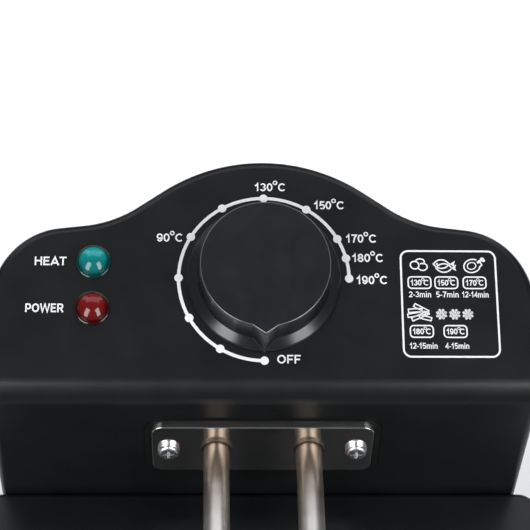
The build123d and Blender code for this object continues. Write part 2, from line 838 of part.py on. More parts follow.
# ---------------------------------------------------------------- seated-on-tank interlock
plunger_radius = 3.0
guide_flange = 2.0
collar_y = 6.0
with BuildPart() as plunger_guide:
    with BuildSketch(wall.offset(guide_flange)):
        with Locations(plunger_spot):
            Circle(8)
            Circle(plunger_radius + running_gap, mode=Mode.SUBTRACT)
    extrude(amount=-guide_flange)
    with BuildSketch(wall):
        with Locations(plunger_spot):
            Circle(guide_radius - 0.02)
            Circle(plunger_radius + running_gap, mode=Mode.SUBTRACT)
    extrude(amount=-collar_y + 0.5)
finish("plunger_guide", plunger_guide)

plunger_out = 7.0
plunger_in = 9.5
with BuildPart() as interlock_plunger:
    with BuildSketch(wall.offset(plunger_out)):
        with Locations(plunger_spot):
            Circle(plunger_radius)
    extrude(amount=-plunger_out - plunger_in)
    fillet(interlock_plunger.edges().group_by(Axis.Y)[0], 1.4)
    with BuildSketch(wall.offset(-collar_y)):
        with Locations(plunger_spot):
            Circle(4.6)
    extrude(amount=-1.4)
finish("interlock_plunger", interlock_plunger)

switch_front = plunger_in + plunger_travel + 0.5
switch_half_width = 5.15
plunger_x, plunger_z = plunger_spot
with BuildPart() as interlock_switch:
    with BuildSketch(wall.offset(-switch_front)):
        with Locations((plunger_x, plunger_z + 6)):
            RectangleRounded(2 * switch_half_width, 27.8, 1)
    extrude(amount=-16)
    with BuildSketch(wall.offset(-switch_front - 16)):
        with Locations(*[(plunger_x, plunger_z + 6 + step) for step in (-9, 0, 9)]):
            Rectangle(0.8, 4.8)
    extrude(amount=-6)
finish("interlock_switch", interlock_switch)

with BuildPart() as interlock_bracket:
    with BuildSketch(wall.offset(-sheet)):
        with Locations((plunger_x + switch_half_width, plunger_z + 3)):
            Rectangle(14, 30, align=(Align.MIN, Align.CENTER))
    extrude(amount=-sheet)
    with BuildSketch(wall.offset(-sheet)):
        with Locations((plunger_x + switch_half_width, plunger_z + 3)):
            Rectangle(sheet, 30, align=(Align.MIN, Align.CENTER))
    extrude(amount=-switch_front - 14 + sheet)
finish("interlock_bracket", interlock_bracket)

# ---------------------------------------------------------------- over-temperature cut-out
reset_neck = 5.0
reset_radius = 2.5
reset_proud = 2.0
with BuildPart() as cutout_body:
    with BuildSketch(rear.offset(cutout_face)):
        with Locations((0, reset_height)):
            Circle(11.5)
    extrude(amount=-cutout_depth)
    with BuildSketch(rear.offset(cutout_face)):
        with Locations((0, reset_height)):
            Circle(reset_neck_radius)
    extrude(amount=sheet + reset_neck)
    with BuildSketch(rear.offset(boss_rise + reset_neck)):
        with Locations((0, reset_height)):
            Circle(reset_radius + running_gap)
    extrude(amount=-12, mode=Mode.SUBTRACT)
finish("cutout_body", cutout_body)
reset_spots = [(0, reset_height)]
hex_nuts("cutout_nut", [(rear.offset(boss_rise), reset_spots)], 17.0, 3.0, reset_neck_radius + 0.02)

with BuildPart() as reset_button:
    with BuildSketch(rear.offset(boss_rise + reset_neck + reset_proud)):
        with Locations((0, reset_height)):
            Circle(reset_radius)
    extrude(amount=-11.4)
    fillet(reset_button.edges().group_by(Axis.Y)[-1], 0.8)
finish("reset_button", reset_button)

# ---------------------------------------------------------------- cable gland and earth stud
gland_spots = [(0, gland_height)]
gland_bore = 4.2
gland_thread = 8.0
with BuildPart() as gland_body:
    with BuildSketch(rear.offset(boss_rise)):
        with Locations(*gland_spots):
            RegularPolygon(11, 6, major_radius=False)
            Circle(6.2, mode=Mode.SUBTRACT)
    extrude(amount=5)
    with BuildSketch(rear.offset(boss_rise - sheet - 8)):
        with Locations(*gland_spots):
            Circle(gland_thread)
            Circle(6.2, mode=Mode.SUBTRACT)
    extrude(amount=sheet + 8 + 13)
finish("gland_body", gland_body)

with BuildPart() as gland_seal:
    with BuildSketch(rear.offset(boss_rise + 3)):
        with Locations(*gland_spots):
            Circle(6.2)
            Circle(gland_bore, mode=Mode.SUBTRACT)
    extrude(amount=14)
finish("gland_seal", gland_seal)

with BuildPart() as gland_cap:
    with BuildSketch(rear.offset(boss_rise + 6)):
        with Locations(*gland_spots):
            RegularPolygon(10.4, 6, major_radius=False)
            Circle(gland_thread + 0.02, mode=Mode.SUBTRACT)
    extrude(amount=7)
    with BuildSketch(rear.offset(boss_rise + 13)):
        with Locations(*gland_spots):
            Circle(10.2)
            Circle(gland_thread + 0.02, mode=Mode.SUBTRACT)
    extrude(amount=4)
    with BuildSketch(rear.offset(boss_rise + 17)):
        with Locations(*gland_spots):
            Circle(10.2)
            Circle(gland_bore + 0.6, mode=Mode.SUBTRACT)
    extrude(amount=gland_reach - 17)
    fillet(gland_cap.edges().group_by(Axis.Y)[-1].sort_by(SortBy.RADIUS)[-1], 3.0)
finish("gland_cap", gland_cap)
locknut_plane = rear.offset(boss_rise - sheet - 4.5)
hex_nuts("gland_locknut", [(locknut_plane, gland_spots)], 20.0, 4.5, gland_thread + 0.02)

stud_spots = [(0, stud_height)]
stud_free = 9.4
earth_nut_height = 3.6
with BuildPart() as earth_stud:
    with BuildSketch(rear.offset(boss_rise + earth_nut_height)):
        with Locations(*stud_spots):
            Circle(stud_radius)
    extrude(amount=stud_free)
    chamfer(earth_stud.edges().group_by(Axis.Y)[-1], 0.5)
    with BuildSketch(rear.offset(boss_rise + earth_nut_height)):
        with Locations(*stud_spots):
            Circle(stud_root)
    extrude(amount=-earth_nut_height - sheet - 8)
finish("earth_stud", earth_stud)
earth_nut_planes = [rear.offset(boss_rise), rear.offset(boss_rise - sheet - earth_nut_height)]
earth_nut_sets = [(plane, stud_spots) for plane in earth_nut_planes]
hex_nuts("earth_nuts", earth_nut_sets, 9.0, earth_nut_height, stud_root + 0.02)

# ---------------------------------------------------------------- terminal block and wiring
block_x = -46.0
block_y = wall_y + 28.0
block_height = 16.0
with BuildPart() as terminal_block:
    with Locations((block_x, block_y, base_top)):
        Box(46, 18, block_height, align=(Align.CENTER, Align.CENTER, Align.MIN))
    for step in (-15, 0, 15):
        with BuildSketch(Plane.XY.offset(base_top + block_height)):
            with Locations(*[(block_x + step, block_y + row) for row in (-5, 5)]):
                Circle(2.2)
        extrude(amount=-4, mode=Mode.SUBTRACT)
finish("terminal_block", terminal_block)

with BuildPart() as terminal_screws:
    with BuildSketch(Plane.XY.offset(base_top + block_height - 4)):
        for step in (-15, 0, 15):
            with Locations(*[(block_x + step, block_y + row) for row in (-5, 5)]):
                Circle(2.1)
                Rectangle(3.4, 0.6, mode=Mode.SUBTRACT)
    extrude(amount=2.4)
finish("terminal_screws", terminal_screws)

wire_radius = 1.2
pin_end = inside_wall + cold_end + 2 * pin_length
wire_exit = base_top + 8
left_wire = [
    (block_x + 8, block_y - 9, wire_exit),
    (block_x + 8, block_y - 17, wire_exit),
    (block_x + 2, inside_wall + 14, 90),
    (-leg_spread - 29, inside_wall + 30, 160),
    (-leg_spread - 13, pin_end + 12, leg_height),
    (-leg_spread, pin_end + 12, leg_height),
    (-leg_spread, pin_end, leg_height),
]
right_wire = [
    (block_x + 18, block_y - 9, wire_exit),
    (block_x + 18, block_y - 19, wire_exit),
    (block_x + 30, inside_wall + 12, 80),
    (leg_spread + 12, inside_wall + 30, 140),
    (leg_spread, pin_end + 12, 168),
    (leg_spread, pin_end + 10, leg_height),
    (leg_spread, pin_end, leg_height),
]
earth_wire = [
    (block_x - 15, block_y + 9, wire_exit),
    (block_x - 15, block_y + 16, wire_exit),
    (-34, crest_y - 26, 40),
    (-10, crest_y - 14, 70),
    (0, crest_y - 12, stud_height),
    (0, crest_y + boss_rise - sheet - 8, stud_height),
]


wire_runs = {}
for run_name, points in (("left", left_wire), ("right", right_wire), ("earth", earth_wire)):
    wire_runs[run_name] = tube_along(points, [3.0] * (len(points) - 2), wire_radius)

with BuildPart() as element_wires:
    add([wire_runs["left"], wire_runs["right"]])
finish("element_wires", element_wires)

with BuildPart() as wire_earth:
    add(wire_runs["earth"])
finish("earth_wire", wire_earth)
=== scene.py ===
"""Looks of the fryer control head: printing, knob, lamps, materials, light and camera."""

import json
import math

import bmesh
import bpy
from mathutils import Matrix, Vector


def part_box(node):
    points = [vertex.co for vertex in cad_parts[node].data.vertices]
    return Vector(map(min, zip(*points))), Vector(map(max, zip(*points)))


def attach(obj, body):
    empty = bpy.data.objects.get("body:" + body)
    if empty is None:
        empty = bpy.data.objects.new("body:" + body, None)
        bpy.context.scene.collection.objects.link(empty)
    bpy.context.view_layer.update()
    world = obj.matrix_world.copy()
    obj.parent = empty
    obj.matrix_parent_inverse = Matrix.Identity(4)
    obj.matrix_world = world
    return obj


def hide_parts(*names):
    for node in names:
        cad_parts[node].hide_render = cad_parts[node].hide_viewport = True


MM = 0.001

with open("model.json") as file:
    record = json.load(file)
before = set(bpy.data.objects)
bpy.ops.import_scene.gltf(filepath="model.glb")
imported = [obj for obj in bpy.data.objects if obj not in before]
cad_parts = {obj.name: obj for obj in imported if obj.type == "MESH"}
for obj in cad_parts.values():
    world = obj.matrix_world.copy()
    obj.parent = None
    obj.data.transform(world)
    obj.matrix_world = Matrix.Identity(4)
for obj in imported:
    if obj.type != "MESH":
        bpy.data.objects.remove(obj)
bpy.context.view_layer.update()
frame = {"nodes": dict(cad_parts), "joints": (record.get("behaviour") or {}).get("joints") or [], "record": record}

# ------------------------------------------------------------ the dial panel's own axes
turn = next(joint for joint in frame["joints"] if joint["name"] == "knob_turn")
dial = Vector(turn["pos_m"])
outward = -Vector(turn["axis"]).normalized()
rightward = Vector((1, 0, 0))
upward = outward.cross(rightward)
PANEL = Matrix.Translation(dial) @ Matrix((rightward, upward, outward)).transposed().to_4x4()


def on_panel(node):
    """Lowest and highest corner of a CAD node in the panel's own axes, in millimetres."""
    inverse = PANEL.inverted()
    points = [inverse @ vertex.co / MM for vertex in frame["nodes"][node].data.vertices]
    low = Vector([min(point[axis] for point in points) for axis in range(3)])
    high = Vector([max(point[axis] for point in points) for axis in range(3)])
    return low, high


# ------------------------------------------------------------ material layers
def new_surface(name, color, roughness, metallic=0.0):
    """A node material; returns it with its shader, whose plain sockets are set directly."""
    made = bpy.data.materials.new(name)
    made.use_nodes = True
    shader = made.node_tree.nodes["Principled BSDF"]
    shader.inputs["Base Color"].default_value = (*color, 1)
    shader.inputs["Roughness"].default_value = roughness
    shader.inputs["Metallic"].default_value = metallic
    return made, shader


def object_coordinates(made):
    return made.node_tree.nodes.new("ShaderNodeTexCoord").outputs["Object"]


def noise(made, size_mm, detail=3.0, stretch=(1, 1, 1)):
    """Noise whose features are about size_mm across, drawn out along an axis by stretch."""
    nodes, links = made.node_tree.nodes, made.node_tree.links
    mapping = nodes.new("ShaderNodeMapping")
    mapping.inputs["Scale"].default_value = [1 / (size_mm * MM * axis) for axis in stretch]
    texture = nodes.new("ShaderNodeTexNoise")
    texture.inputs["Scale"].default_value = 1.0
    texture.inputs["Detail"].default_value = detail
    links.new(object_coordinates(made), mapping.inputs["Vector"])
    links.new(mapping.outputs["Vector"], texture.inputs["Vector"])
    return texture.outputs["Fac"]


def remap(made, value, low, high, start=0.3, stop=0.7):
    nodes, links = made.node_tree.nodes, made.node_tree.links
    ramp = nodes.new("ShaderNodeMapRange")
    ramp.inputs["From Min"].default_value = start
    ramp.inputs["From Max"].default_value = stop
    ramp.inputs["To Min"].default_value = low
    ramp.inputs["To Max"].default_value = high
    links.new(value, ramp.inputs["Value"])
    return ramp.outputs["Result"]


def blend_colors(made, value, first, second):
    """Colour going from first to second as value goes from 0 to 1; either may be a socket."""
    nodes, links = made.node_tree.nodes, made.node_tree.links
    mix = nodes.new("ShaderNodeMix")
    mix.data_type = "RGBA"
    links.new(value, mix.inputs["Factor"])
    for socket, color in ((mix.inputs[6], first), (mix.inputs[7], second)):
        if isinstance(color, bpy.types.NodeSocket):
            links.new(color, socket)
        else:
            socket.default_value = (*color, 1)
    return mix.outputs[2]


def relief(made, shader, height, depth_mm, rounding_mm=0.0):
    """Bump from a height, over edges that look rounded by rounding_mm."""
    nodes, links = made.node_tree.nodes, made.node_tree.links
    bump = nodes.new("ShaderNodeBump")
    bump.inputs["Strength"].default_value = 1.0
    bump.inputs["Distance"].default_value = depth_mm * MM
    links.new(height, bump.inputs["Height"])
    if rounding_mm:
        edge = nodes.new("ShaderNodeBevel")
        edge.samples = 4
        edge.inputs["Radius"].default_value = rounding_mm * MM
        links.new(edge.outputs["Normal"], bump.inputs["Normal"])
    links.new(bump.outputs["Normal"], shader.inputs["Normal"])


def finish_of(name, tones, roughness, metallic, patch, grain, depth, rounding=0.2):
    """Two tones in patches, a range of roughness and a fine grain in relief; sizes in mm."""
    middle = [(first + second) / 2 for first, second in zip(*tones)]
    made, shader = new_surface(name, middle, sum(roughness) / 2, metallic)
    links = made.node_tree.links
    patches = remap(made, noise(made, patch), 0, 1)
    links.new(blend_colors(made, patches, *tones), shader.inputs["Base Color"])
    smears = remap(made, noise(made, patch * 0.6, 4), *roughness)
    links.new(smears, shader.inputs["Roughness"])
    relief(made, shader, noise(made, grain, 2), depth, rounding)
    return made, shader


def powder_coat(name, tones, roughness):
    """Black baked powder: a fine orange-peel relief under a satin skin."""
    made, shader = finish_of(
        name, tones, roughness, metallic=0.0, patch=22, grain=0.9, depth=0.004, rounding=0.35
    )
    shader.inputs["Specular IOR Level"].default_value = 0.4
    return made


SPANGLE = 7  # size of a zinc crystal, mm


def zinc_sheet():
    """Galvanised sheet: crystal spangle in cells of slightly different greys."""
    made, shader = new_surface("zinc_spangle", (0.5, 0.51, 0.52), 0.42, 0.9)
    nodes, links = made.node_tree.nodes, made.node_tree.links
    cells = nodes.new("ShaderNodeTexVoronoi")
    cells.inputs["Scale"].default_value = 1 / (SPANGLE * MM)
    links.new(object_coordinates(made), cells.inputs["Vector"])
    shade = nodes.new("ShaderNodeSeparateColor")
    links.new(cells.outputs["Color"], shade.inputs["Color"])
    spangle = shade.outputs["Red"]
    links.new(
        blend_colors(made, spangle, (0.42, 0.43, 0.44), (0.6, 0.61, 0.62)),
        shader.inputs["Base Color"],
    )
    links.new(remap(made, spangle, 0.34, 0.5, 0, 1), shader.inputs["Roughness"])
    relief(made, shader, noise(made, 0.8), 0.005, 0.3)
    return made


# The heater tube's straw-to-brown darkening starts and is full at these distances in front of the flange, mm.
BROWNING_STARTS, BROWNING_IS_FULL = 34, 12
TUBE_TONES = ((0.68, 0.65, 0.61), (0.78, 0.745, 0.71))
TUBE_NEAR_FLANGE_TONE = (0.27, 0.21, 0.165)


def heater_sheath():
    """Satin nickel-alloy tube, going straw to brown towards the flange."""
    made, shader = new_surface("tube_browned_near_flange", (0.6, 0.57, 0.54), 0.3, 1.0)
    nodes, links = made.node_tree.nodes, made.node_tree.links
    flange_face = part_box("heater_flange")[0].y
    parts = nodes.new("ShaderNodeSeparateXYZ")
    links.new(object_coordinates(made), parts.inputs["Vector"])
    wander = nodes.new("ShaderNodeMath")
    wander.operation = "ADD"
    links.new(parts.outputs["Y"], wander.inputs[0])
    links.new(remap(made, noise(made, 6), -3 * MM, 3 * MM), wander.inputs[1])
    browning_start = flange_face - BROWNING_STARTS * MM
    browning_stop = flange_face - BROWNING_IS_FULL * MM
    # The tube goes darker and browner towards the flange over this range.
    heat = remap(made, wander.outputs["Value"], 0, 1, browning_start, browning_stop)
    away_from_flange = blend_colors(made, remap(made, noise(made, 18), 0, 1), *TUBE_TONES)
    links.new(blend_colors(made, heat, away_from_flange, TUBE_NEAR_FLANGE_TONE), shader.inputs["Base Color"])
    links.new(remap(made, noise(made, 4, 4, (1, 6, 1)), 0.34, 0.44), shader.inputs["Roughness"])
    relief(made, shader, noise(made, 0.35, 2, (1, 14, 1)), 0.004)
    return made


def striped_wire():
    """Green insulation with a yellow stripe winding round it."""
    made, shader = new_surface("earth_insulation", (0.1, 0.4, 0.08), 0.42)
    nodes, links = made.node_tree.nodes, made.node_tree.links
    bands = nodes.new("ShaderNodeTexWave")
    bands.inputs["Scale"].default_value = 1 / (16 * MM)
    bands.inputs["Distortion"].default_value = 1.5
    links.new(object_coordinates(made), bands.inputs["Vector"])
    stripe = remap(made, bands.outputs["Fac"], 0, 1, 0.55, 0.6)
    links.new(
        blend_colors(made, stripe, (0.06, 0.32, 0.05), (0.78, 0.66, 0.05)),
        shader.inputs["Base Color"],
    )
    relief(made, shader, noise(made, 0.6), 0.003)
    return made


def woven_sleeve():
    """Glass-fibre sleeving: a fine basket weave."""
    made, shader = new_surface("glass_sleeving", (0.8, 0.78, 0.72), 0.8)
    nodes, links = made.node_tree.nodes, made.node_tree.links
    weave = nodes.new("ShaderNodeTexChecker")
    weave.inputs["Scale"].default_value = 1 / (0.35 * MM)
    links.new(object_coordinates(made), weave.inputs["Vector"])
    links.new(
        blend_colors(made, weave.outputs["Fac"], (0.68, 0.66, 0.6), (0.86, 0.84, 0.79)),
        shader.inputs["Base Color"],
    )
    relief(made, shader, weave.outputs["Fac"], 0.05)
    return made


def lamp_lens_surface(name, rim_shade_tone, body, bright):
    """Moulded lens: painted shade in a deep colour at the rim, and a painted highlight brightening the upper side
    of its crown.
    """
    made, shader = new_surface(name, body, 0.12)
    nodes, links = made.node_tree.nodes, made.node_tree.links
    parts = nodes.new("ShaderNodeSeparateXYZ")
    links.new(object_coordinates(made), parts.inputs["Vector"])
    flat = nodes.new("ShaderNodeCombineXYZ")
    links.new(parts.outputs["X"], flat.inputs["X"])
    links.new(parts.outputs["Y"], flat.inputs["Y"])
    reach = nodes.new("ShaderNodeVectorMath")
    reach.operation = "LENGTH"
    links.new(flat.outputs["Vector"], reach.inputs[0])
    # Painted shade darkens the rim; the bright tone is a painted highlight on the upper side of the crown.
    painted_rim_shade = remap(made, reach.outputs["Value"], 0, 1, 4.2 * MM, 5.9 * MM)
    crown = remap(made, parts.outputs["Y"], 0, 1, -1.0 * MM, 3.6 * MM)
    with_painted_highlight = blend_colors(made, crown, body, bright)
    links.new(blend_colors(made, painted_rim_shade, with_painted_highlight, rim_shade_tone), shader.inputs["Base Color"])
    links.new(remap(made, noise(made, 2.5), 0.1, 0.2), shader.inputs["Roughness"])
    shader.inputs["Specular IOR Level"].default_value = 0.2
    shader.inputs["Coat Weight"].default_value = 0.8
    shader.inputs["Coat Roughness"].default_value = 0.04
    relief(made, shader, noise(made, 1.8), 0.004)
    return made


BLACKS = ((0.0030, 0.0037, 0.0040), (0.0050, 0.0060, 0.0064))
SATIN = (0.27, 0.33)
# Lens tones: painted shade at the rim, body colour, painted highlight on the upper crown.
GREENS = ((0.0, 0.025, 0.025), (0.0, 0.13, 0.13), (0.0, 0.34, 0.33))
REDS = ((0.02, 0.0, 0.0), (0.11, 0.001, 0.001), (0.2, 0.003, 0.003))
surfaces = {
    "case_black": powder_coat("case_powder_coat", BLACKS, SATIN),
    "shelf_black": powder_coat("shelf_powder_coat", BLACKS, SATIN),
    "galvanised": zinc_sheet(),
    "heater_sheath": heater_sheath(),
    "wire_green": striped_wire(),
    "wire_white": woven_sleeve(),
    "lens_green": lamp_lens_surface("green_lens", *GREENS),
    "lens_red": lamp_lens_surface("red_lens", *REDS),
}
# slot: (two tones, roughness range, metallic, patch mm, grain mm, grain depth mm)
PLAIN_FINISHES = {
    "stainless": (((0.60, 0.59, 0.57), (0.68, 0.67, 0.65)), (0.08, 0.16), 1.0, 14, 0.3, 0.0008),
    "bright_zinc": (((0.70, 0.71, 0.73), (0.80, 0.80, 0.81)), (0.24, 0.34), 1.0, 3, 0.4, 0.002),
    "shelf_rivet": (((0.012, 0.012, 0.013), (0.02, 0.02, 0.021)), (0.35, 0.45), 0.0, 4, 0.5, 0.003),
    "gasket_black": (
        ((0.002, 0.002, 0.002), (0.005, 0.005, 0.005)),
        (0.34, 0.42), 0.0, 6, 0.5, 0.01,
    ),
    "foot_rubber": (((0.014, 0.014, 0.014), (0.024, 0.024, 0.024)), (0.6, 0.75), 0.0, 6, 0.6, 0.01),
    "knob_black": (
        ((0.003, 0.0037, 0.005), (0.0044, 0.0052, 0.0068)),
        (0.2, 0.26), 0.0, 12, 0.35, 0.004,
    ),
    "clear_body": (((0.62, 0.62, 0.58), (0.74, 0.74, 0.70)), (0.12, 0.2), 0.0, 6, 0.8, 0.003),
    "steel_shaft": (((0.52, 0.52, 0.52), (0.62, 0.62, 0.61)), (0.25, 0.38), 1.0, 5, 0.3, 0.004),
    "switch_black": (
        ((0.016, 0.016, 0.017), (0.026, 0.026, 0.027)),
        (0.4, 0.5), 0.0, 5, 0.4, 0.006,
    ),
    "phenolic": (((0.05, 0.028, 0.017), (0.09, 0.052, 0.033)), (0.35, 0.5), 0.0, 1.5, 0.5, 0.006),
    "ceramic": (((0.66, 0.62, 0.54), (0.78, 0.75, 0.68)), (0.6, 0.75), 0.0, 5, 0.5, 0.012),
    "reset_red": (((0.34, 0.015, 0.01), (0.44, 0.025, 0.018)), (0.25, 0.35), 0.0, 3, 0.6, 0.003),
    "nickel": (((0.62, 0.60, 0.56), (0.72, 0.70, 0.66)), (0.16, 0.28), 1.0, 4, 0.4, 0.002),
    "copper": (((0.62, 0.30, 0.18), (0.76, 0.42, 0.28)), (0.24, 0.38), 1.0, 8, 0.4, 0.003),
    "nylon_black": (
        ((0.016, 0.016, 0.018), (0.026, 0.026, 0.028)),
        (0.42, 0.55), 0.0, 6, 0.4, 0.008,
    ),
    "brass": (((0.58, 0.43, 0.19), (0.72, 0.56, 0.28)), (0.2, 0.34), 1.0, 4, 0.4, 0.003),
}
for slot, (tones, roughness, metallic, patch, grain, depth) in PLAIN_FINISHES.items():
    surfaces[slot] = finish_of(slot + "_finish", tones, roughness, metallic, patch, grain, depth)[0]
INK_TONES = ((0.72, 0.73, 0.75), (0.78, 0.79, 0.81))
ink, _ = finish_of("white_ink", INK_TONES, (0.4, 0.5), 0.0, 5, 0.4, 0.002, rounding=0)
BURNT_TONES = ((0.09, 0.065, 0.05), (0.17, 0.13, 0.10))
burnt, _ = finish_of("burnt_braze", BURNT_TONES, (0.4, 0.5), 1.0, 3, 0.4, 0.004)

slot_of = {part["node"]: part["material_slot"] for part in frame["record"]["subparts"]}
for node, thing in frame["nodes"].items():
    thing.data.materials.clear()
    thing.data.materials.append(burnt if node == "tube_collars" else surfaces[slot_of[node]])


# ------------------------------------------------------------ mesh helpers
def add_piece(name, shape, surface, body, sharp_degrees=35):
    """Turns a bmesh in the panel's axes and millimetres into a piece that rides on a body."""
    mesh = bpy.data.meshes.new(name)
    bmesh.ops.scale(shape, vec=(MM, MM, MM), verts=shape.verts)
    shape.to_mesh(mesh)
    shape.free()
    mesh.shade_smooth()
    mesh.set_sharp_from_angle(angle=math.radians(sharp_degrees))
    mesh.materials.append(surface)
    piece = bpy.data.objects.new(name, mesh)
    bpy.context.scene.collection.objects.link(piece)
    piece.matrix_world = PANEL
    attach(piece, body)
    return piece


def stack_rings(shape, rings):
    """Skins between closed rings of equal count, closed below and with a fan over the last one."""
    rows = [[shape.verts.new(point) for point in ring] for ring in rings]
    count = len(rows[0])
    for lower, upper in zip(rows, rows[1:]):
        for index in range(count):
            following = (index + 1) % count
            shape.faces.new((lower[index], lower[following], upper[following], upper[index]))
    middle = sum((vertex.co for vertex in rows[-1]), Vector()) / count
    crown = shape.verts.new(middle)
    for index in range(count):
        shape.faces.new((rows[-1][index], rows[-1][(index + 1) % count], crown))
    shape.faces.new(list(reversed(rows[0])))


# ------------------------------------------------------------ printing
INK = 0.03  # thickness of one coat
INK_GAP = 0.005  # between a coat and what it is printed on
MITRE_LIMIT = 0.4
ARC_STEPS = 28


def ink_face(shape, points, coats=1):
    shape.faces.new([shape.verts.new((x, y, INK * coats)) for x, y in points])


def stroke(shape, points, width, closed=False):
    """A line of constant width along points, mitred at its corners."""
    count = len(points)
    sides = []
    for index, (x, y) in enumerate(points):
        before = points[index - 1] if closed or index else points[index]
        after = points[(index + 1) % count] if closed or index < count - 1 else points[index]
        along_in = Vector((x - before[0], y - before[1]))
        along_out = Vector((after[0] - x, after[1] - y))
        along_in = along_in.normalized() if along_in.length else along_out.normalized()
        along_out = along_out.normalized() if along_out.length else along_in
        across = Vector((-along_in.y - along_out.y, along_in.x + along_out.x)).normalized()
        reach = width / 2 / max(MITRE_LIMIT, across.dot(Vector((-along_in.y, along_in.x))))
        left = shape.verts.new((x + across.x * reach, y + across.y * reach, INK))
        right = shape.verts.new((x - across.x * reach, y - across.y * reach, INK))
        sides.append((left, right))
    for index in range(count if closed else count - 1):
        here, there = sides[index], sides[(index + 1) % count]
        shape.faces.new((here[1], there[1], there[0], here[0]))


def arc(x, y, radius_x, radius_y, start=0, stop=360, steps=ARC_STEPS, lean=0):
    """Points along an ellipse's arc, in degrees from its right end, leaning by lean degrees."""
    full = abs(stop - start) >= 360
    turns = steps if full else steps - 1
    points = []
    for step in range(steps):
        angle = math.radians(start + (stop - start) * step / turns)
        across, along = radius_x * math.cos(angle), radius_y * math.sin(angle)
        slant = math.radians(lean)
        points.append(
            (
                x + across * math.cos(slant) - along * math.sin(slant),
                y + across * math.sin(slant) + along * math.cos(slant),
            )
        )
    return points


def rounded_box(x, y, width, height, corner):
    """Outline of a box centred on (x, y)."""
    half_w, half_h = width / 2 - corner, height / 2 - corner
    points = []
    for side_x, side_y, start in ((1, 1, 0), (-1, 1, 90), (-1, -1, 180), (1, -1, 270)):
        centre_x, centre_y = x + side_x * half_w, y + side_y * half_h
        points += arc(centre_x, centre_y, corner, corner, start, start + 90, 7)
    return points


# Sans lettering: each sign's width and the centre lines of its strokes, for a capital 1 high.
GLYPHS = {
    "0": (0.60, [arc(0.30, 0.5, 0.20, 0.41)]),
    "1": (0.50, [[(0.06, 0.66), (0.20, 0.74), (0.31, 0.95), (0.31, 0.0)]]),
    "2": (0.60, [arc(0.30, 0.68, 0.20, 0.23, 170, -40, 12) + [(0.11, 0.09), (0.54, 0.09)]]),
    "3": (
        0.60,
        [arc(0.29, 0.70, 0.18, 0.21, 160, -90, 14) + arc(0.29, 0.29, 0.21, 0.20, 90, -165, 14)],
    ),
    "4": (0.60, [[(0.42, 0.0), (0.42, 0.90), (0.09, 0.30), (0.58, 0.30)]]),
    "5": (
        0.60,
        [[(0.52, 0.91), (0.17, 0.91), (0.13, 0.50)] + arc(0.30, 0.32, 0.22, 0.24, 118, -138, 14)],
    ),
    "7": (0.60, [[(0.06, 0.91), (0.52, 0.91), (0.34, 0.55), (0.24, 0.0)]]),
    "8": (0.60, [arc(0.30, 0.72, 0.17, 0.19), arc(0.30, 0.29, 0.20, 0.20)]),
    "9": (0.60, [arc(0.30, 0.65, 0.20, 0.26), arc(0.30, 0.48, 0.20, 0.39, 25, -150, 14)]),
    "-": (0.34, [[(0.04, 0.36), (0.30, 0.36)]]),
    "A": (0.72, [[(0.05, 0.0), (0.36, 0.93), (0.67, 0.0)], [(0.16, 0.27), (0.56, 0.27)]]),
    "C": (0.70, [arc(0.38, 0.5, 0.28, 0.41, 42, 318, 24)]),
    "E": (
        0.64,
        [[(0.58, 0.09), (0.12, 0.09), (0.12, 0.91), (0.56, 0.91)], [(0.12, 0.51), (0.52, 0.51)]],
    ),
    "F": (0.60, [[(0.12, 0.0), (0.12, 0.91), (0.56, 0.91)], [(0.12, 0.47), (0.50, 0.47)]]),
    "H": (
        0.72,
        [[(0.12, 0.0), (0.12, 1.0)], [(0.60, 0.0), (0.60, 1.0)], [(0.12, 0.53), (0.60, 0.53)]],
    ),
    "O": (0.80, [arc(0.40, 0.5, 0.29, 0.41)]),
    "P": (
        0.66,
        [
            [(0.12, 0.0), (0.12, 0.91), (0.36, 0.91)]
            + arc(0.36, 0.66, 0.19, 0.25, 80, -90, 10)
            + [(0.12, 0.41)]
        ],
    ),
    "R": (
        0.72,
        [
            [(0.12, 0.0), (0.12, 0.91), (0.38, 0.91)]
            + arc(0.38, 0.68, 0.19, 0.23, 80, -90, 10)
            + [(0.12, 0.45)],
            [(0.38, 0.45), (0.62, 0.0)],
        ],
    ),
    "T": (0.62, [[(0.31, 0.0), (0.31, 0.91)], [(0.02, 0.91), (0.60, 0.91)]]),
    "W": (1.08, [[(0.10, 1.0), (0.30, 0.05), (0.54, 0.93), (0.78, 0.05), (0.98, 1.0)]]),
    "i": (0.30, [[(0.15, 0.0), (0.15, 0.72)], [(0.15, 0.84), (0.15, 1.0)]]),
    "m": (
        0.88,
        [
            [(0.12, 0.0), (0.12, 0.72)],
            arc(0.28, 0.47, 0.16, 0.18, 170, 0, 8) + [(0.44, 0.0)],
            arc(0.60, 0.47, 0.16, 0.18, 180, 0, 8) + [(0.76, 0.0)],
        ],
    ),
    "n": (
        0.58,
        [[(0.12, 0.0), (0.12, 0.72)], arc(0.29, 0.46, 0.17, 0.19, 170, 0, 8) + [(0.46, 0.0)]],
    ),
}


SIGNS_WITH_CLOSED_STROKES = "089O"


def words(shape, text, x, y, width, height, weight=0.17):
    """Text from (x, y) on its baseline, fitted to a width; weight is the stroke over the height."""
    natural = sum(GLYPHS[sign][0] for sign in text)
    scale_x, scale_y = width / natural, height
    cursor = x
    for sign in text:
        advance, strokes = GLYPHS[sign]
        for points in strokes:
            placed = [(cursor + across * scale_x, y + along * scale_y) for across, along in points]
            closed = sign in SIGNS_WITH_CLOSED_STROKES and len(points) == ARC_STEPS
            stroke(shape, placed, weight * height, closed)
        cursor += advance * scale_x


def degrees_celsius(shape, number, x, y, width, height, line=0.4, room=2.6):
    """A number, a small raised ring and a C in a width; room is the ring's share, in its radii."""
    letter = height * 0.95
    ring = height * 0.21
    digits = width - letter - ring * room
    words(shape, number, x, y, digits, height)
    words(shape, "C", x + width - letter, y, letter, height)
    middle = x + digits + ring * max(room / 2 - 0.1, 1.0)
    stroke(shape, arc(middle, y + height * 1.04, ring, ring, steps=20), line, closed=True)


